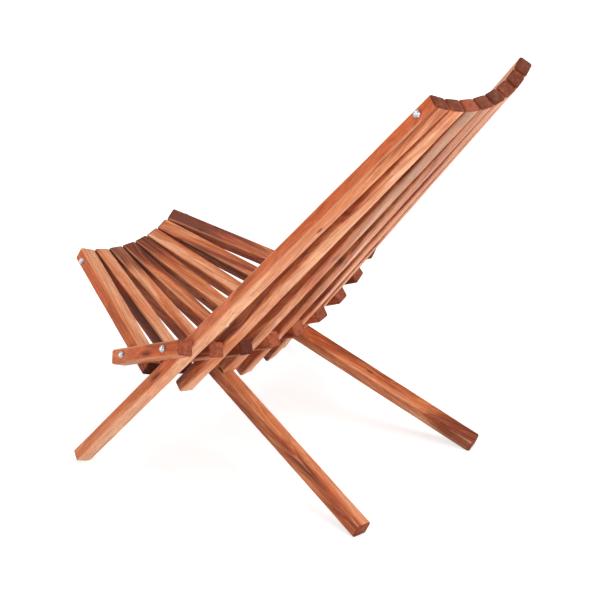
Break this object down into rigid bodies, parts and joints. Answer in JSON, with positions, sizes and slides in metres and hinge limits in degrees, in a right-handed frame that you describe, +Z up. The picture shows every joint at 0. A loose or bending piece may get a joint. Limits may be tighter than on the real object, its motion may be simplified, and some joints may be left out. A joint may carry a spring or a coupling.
{
  "type": "folding stick chair",
  "caption": "Low reclined folding chair of rounded hardwood sticks strung on steel cables, with a fanned curved seat and back.",
  "frame": {"origin": "on the floor, under the middle of the chair's bounding box", "axes": "+Z up, the sitter faces -Y, +X is the sitter's left"},
  "size_m": [0.6208, 0.8382, 0.77],
  "materials": {
    "oiled_wood": "oiled semi-gloss",
    "cable_steel": "bare wire",
    "nut_steel": "bright plated"
  },
  "bodies": {
    "link_stick_1": {"link_stick_1": "oiled_wood", "cable_in_link_stick_1": "cable_steel", "nuts_on_link_stick_1": "nut_steel"},
    "link_stick_2": {"link_stick_2": "oiled_wood", "cable_in_link_stick_2": "cable_steel"},
    "link_stick_3": {"link_stick_3": "oiled_wood", "cable_in_link_stick_3": "cable_steel"},
    "link_stick_4": {"link_stick_4": "oiled_wood", "cable_in_link_stick_4": "cable_steel"},
    "link_stick_5": {"link_stick_5": "oiled_wood", "cable_in_link_stick_5": "cable_steel"},
    "link_stick_6": {"link_stick_6": "oiled_wood", "cable_in_link_stick_6": "cable_steel"},
    "link_stick_7": {"link_stick_7": "oiled_wood", "cable_in_link_stick_7": "cable_steel"},
    "link_stick_8": {"link_stick_8": "oiled_wood", "cable_in_link_stick_8": "cable_steel"},
    "link_stick_9": {"link_stick_9": "oiled_wood", "cable_in_link_stick_9": "cable_steel", "nuts_on_link_stick_9": "nut_steel"},
    "back_stick_1": {"back_stick_1": "oiled_wood", "cable_in_back_stick_1": "cable_steel", "nuts_on_back_stick_1": "nut_steel"},
    "seat_stick_1": {"seat_stick_1": "oiled_wood", "cable_in_seat_stick_1": "cable_steel", "nuts_on_seat_stick_1": "nut_steel"},
    "back_stick_2": {"back_stick_2": "oiled_wood", "cable_in_back_stick_2": "cable_steel"},
    "seat_stick_2": {"seat_stick_2": "oiled_wood", "cable_in_seat_stick_2": "cable_steel"},
    "back_stick_3": {"back_stick_3": "oiled_wood", "cable_in_back_stick_3": "cable_steel"},
    "seat_stick_3": {"seat_stick_3": "oiled_wood", "cable_in_seat_stick_3": "cable_steel"},
    "back_stick_4": {"back_stick_4": "oiled_wood", "cable_in_back_stick_4": "cable_steel"},
    "seat_stick_4": {"seat_stick_4": "oiled_wood", "cable_in_seat_stick_4": "cable_steel"},
    "back_stick_5": {"back_stick_5": "oiled_wood", "cable_in_back_stick_5": "cable_steel"},
    "seat_stick_5": {"seat_stick_5": "oiled_wood", "cable_in_seat_stick_5": "cable_steel"},
    "back_stick_6": {"back_stick_6": "oiled_wood", "cable_in_back_stick_6": "cable_steel"},
    "seat_stick_6": {"seat_stick_6": "oiled_wood", "cable_in_seat_stick_6": "cable_steel"},
    "back_stick_7": {"back_stick_7": "oiled_wood", "cable_in_back_stick_7": "cable_steel"},
    "seat_stick_7": {"seat_stick_7": "oiled_wood", "cable_in_seat_stick_7": "cable_steel"},
    "back_stick_8": {"back_stick_8": "oiled_wood", "cable_in_back_stick_8": "cable_steel", "nuts_on_back_stick_8": "nut_steel"},
    "seat_stick_8": {"seat_stick_8": "oiled_wood", "cable_in_seat_stick_8": "cable_steel", "nuts_on_seat_stick_8": "nut_steel"}
  },
  "joints": [
    {"name": "seat_fold_4", "type": "hinge", "parent": "link_stick_5", "child": "seat_stick_4", "pos_m": [0.0336, -0.12346, 0.18409], "axis": [-0.9984, 0.0438, -0.0344], "range_deg": [0, 114.1]},
    {"name": "link_roll_1", "type": "hinge", "parent": "link_stick_2", "child": "link_stick_1", "pos_m": [0.22955, -0.03714, 0.27713], "axis": [0, 0.8996, 0.4368], "range_deg": [0, 6.97]},
    {"name": "back_fold_1", "type": "hinge", "parent": "link_stick_2", "child": "back_stick_1", "pos_m": [0.23103, -0.03574, 0.27426], "axis": [-0.9075, 0.1835, -0.3779], "range_deg": [0, 8.02]},
    {"name": "seat_fold_1", "type": "hinge", "parent": "link_stick_2", "child": "seat_stick_1", "pos_m": [0.22807, -0.14494, 0.22833], "axis": [-0.8982, 0.2361, -0.3708], "range_deg": [0, 114.12]},
    {"name": "link_roll_2", "type": "hinge", "parent": "link_stick_3", "child": "link_stick_2", "pos_m": [0.16652, -0.02641, 0.25504], "axis": [0, 0.8996, 0.4368], "range_deg": [0, 6.97]},
    {"name": "back_fold_2", "type": "hinge", "parent": "link_stick_3", "child": "back_stick_2", "pos_m": [0.16759, -0.02495, 0.25203], "axis": [-0.9524, 0.1331, -0.2741], "range_deg": [0, 8.02]},
    {"name": "seat_fold_2", "type": "hinge", "parent": "link_stick_3", "child": "seat_stick_2", "pos_m": [0.16545, -0.13428, 0.20638], "axis": [-0.9489, 0.1741, -0.2631], "range_deg": [0, 114.12]},
    {"name": "link_roll_3", "type": "hinge", "parent": "link_stick_4", "child": "link_stick_3", "pos_m": [0.10095, -0.01917, 0.24012], "axis": [0, 0.8996, 0.4368], "range_deg": [0, 6.97]},
    {"name": "back_fold_3", "type": "hinge", "parent": "link_stick_4", "child": "back_stick_3", "pos_m": [0.1016, -0.01766, 0.23701], "axis": [-0.9828, 0.0807, -0.1662], "range_deg": [0, 8.02]},
    {"name": "seat_fold_3", "type": "hinge", "parent": "link_stick_4", "child": "seat_stick_3", "pos_m": [0.1003, -0.12708, 0.19156], "axis": [-0.9825, 0.1097, -0.1503], "range_deg": [0, 114.12]},
    {"name": "link_roll_4", "type": "hinge", "parent": "link_stick_5", "child": "link_stick_4", "pos_m": [0.03382, -0.01552, 0.2326], "axis": [0, 0.8996, 0.4368], "range_deg": [0, 6.97]},
    {"name": "back_fold_4", "type": "hinge", "parent": "link_stick_5", "child": "back_stick_4", "pos_m": [0.03404, -0.01398, 0.22945], "axis": [-0.9981, 0.027, -0.0557], "range_deg": [0, 8.02]},
    {"name": "link_roll_6", "type": "hinge", "parent": "link_stick_5", "child": "link_stick_6", "pos_m": [-0.03382, -0.01552, 0.2326], "axis": [0, -0.8996, -0.4368], "range_deg": [0, 6.97]},
    {"name": "back_fold_5", "type": "hinge", "parent": "link_stick_5", "child": "back_stick_5", "pos_m": [-0.03404, -0.01398, 0.22945], "axis": [-0.9981, -0.027, 0.0557], "range_deg": [0, 8.02]},
    {"name": "seat_fold_5", "type": "hinge", "parent": "link_stick_5", "child": "seat_stick_5", "pos_m": [-0.0336, -0.12346, 0.18409], "axis": [-0.9984, -0.0438, 0.0344], "range_deg": [0, 114.12]},
    {"name": "link_roll_7", "type": "hinge", "parent": "link_stick_6", "child": "link_stick_7", "pos_m": [-0.10095, -0.01917, 0.24012], "axis": [0, -0.8996, -0.4368], "range_deg": [0, 6.97]},
    {"name": "back_fold_6", "type": "hinge", "parent": "link_stick_6", "child": "back_stick_6", "pos_m": [-0.1016, -0.01766, 0.23701], "axis": [-0.9828, -0.0807, 0.1662], "range_deg": [0, 8.02]},
    {"name": "seat_fold_6", "type": "hinge", "parent": "link_stick_6", "child": "seat_stick_6", "pos_m": [-0.1003, -0.12708, 0.19156], "axis": [-0.9825, -0.1097, 0.1503], "range_deg": [0, 114.12]},
    {"name": "link_roll_8", "type": "hinge", "parent": "link_stick_7", "child": "link_stick_8", "pos_m": [-0.16652, -0.02641, 0.25504], "axis": [0, -0.8996, -0.4368], "range_deg": [0, 6.97]},
    {"name": "back_fold_7", "type": "hinge", "parent": "link_stick_7", "child": "back_stick_7", "pos_m": [-0.16759, -0.02495, 0.25203], "axis": [-0.9524, -0.1331, 0.2741], "range_deg": [0, 8.02]},
    {"name": "seat_fold_7", "type": "hinge", "parent": "link_stick_7", "child": "seat_stick_7", "pos_m": [-0.16545, -0.13428, 0.20638], "axis": [-0.9489, -0.1741, 0.2631], "range_deg": [0, 114.12]},
    {"name": "link_roll_9", "type": "hinge", "parent": "link_stick_8", "child": "link_stick_9", "pos_m": [-0.22955, -0.03714, 0.27713], "axis": [0, -0.8996, -0.4368], "range_deg": [0, 6.97]},
    {"name": "back_fold_8", "type": "hinge", "parent": "link_stick_8", "child": "back_stick_8", "pos_m": [-0.23103, -0.03574, 0.27426], "axis": [-0.9075, -0.1835, 0.3779], "range_deg": [0, 8.02]},
    {"name": "seat_fold_8", "type": "hinge", "parent": "link_stick_8", "child": "seat_stick_8", "pos_m": [-0.22807, -0.14494, 0.22833], "axis": [-0.8982, -0.2361, 0.3708], "range_deg": [0, 114.12]}
  ],
  "couplings": [
    {"joint": "link_roll_1", "follows": "seat_fold_4", "ratio": 0.060911},
    {"joint": "back_fold_1", "follows": "seat_fold_4", "ratio": 0.070114},
    {"joint": "seat_fold_1", "follows": "seat_fold_4", "ratio": 1},
    {"joint": "link_roll_2", "follows": "seat_fold_4", "ratio": 0.060911},
    {"joint": "back_fold_2", "follows": "seat_fold_4", "ratio": 0.070114},
    {"joint": "seat_fold_2", "follows": "seat_fold_4", "ratio": 1},
    {"joint": "link_roll_3", "follows": "seat_fold_4", "ratio": 0.060911},
    {"joint": "back_fold_3", "follows": "seat_fold_4", "ratio": 0.070114},
    {"joint": "seat_fold_3", "follows": "seat_fold_4", "ratio": 1},
    {"joint": "link_roll_4", "follows": "seat_fold_4", "ratio": 0.060911},
    {"joint": "back_fold_4", "follows": "seat_fold_4", "ratio": 0.070114},
    {"joint": "link_roll_6", "follows": "seat_fold_4", "ratio": 0.060911},
    {"joint": "back_fold_5", "follows": "seat_fold_4", "ratio": 0.070114},
    {"joint": "seat_fold_5", "follows": "seat_fold_4", "ratio": 1},
    {"joint": "link_roll_7", "follows": "seat_fold_4", "ratio": 0.060911},
    {"joint": "back_fold_6", "follows": "seat_fold_4", "ratio": 0.070114},
    {"joint": "seat_fold_6", "follows": "seat_fold_4", "ratio": 1},
    {"joint": "link_roll_8", "follows": "seat_fold_4", "ratio": 0.060911},
    {"joint": "back_fold_7", "follows": "seat_fold_4", "ratio": 0.070114},
    {"joint": "seat_fold_7", "follows": "seat_fold_4", "ratio": 1},
    {"joint": "link_roll_9", "follows": "seat_fold_4", "ratio": 0.060911},
    {"joint": "back_fold_8", "follows": "seat_fold_4", "ratio": 0.070114},
    {"joint": "seat_fold_8", "follows": "seat_fold_4", "ratio": 1}
  ]
}
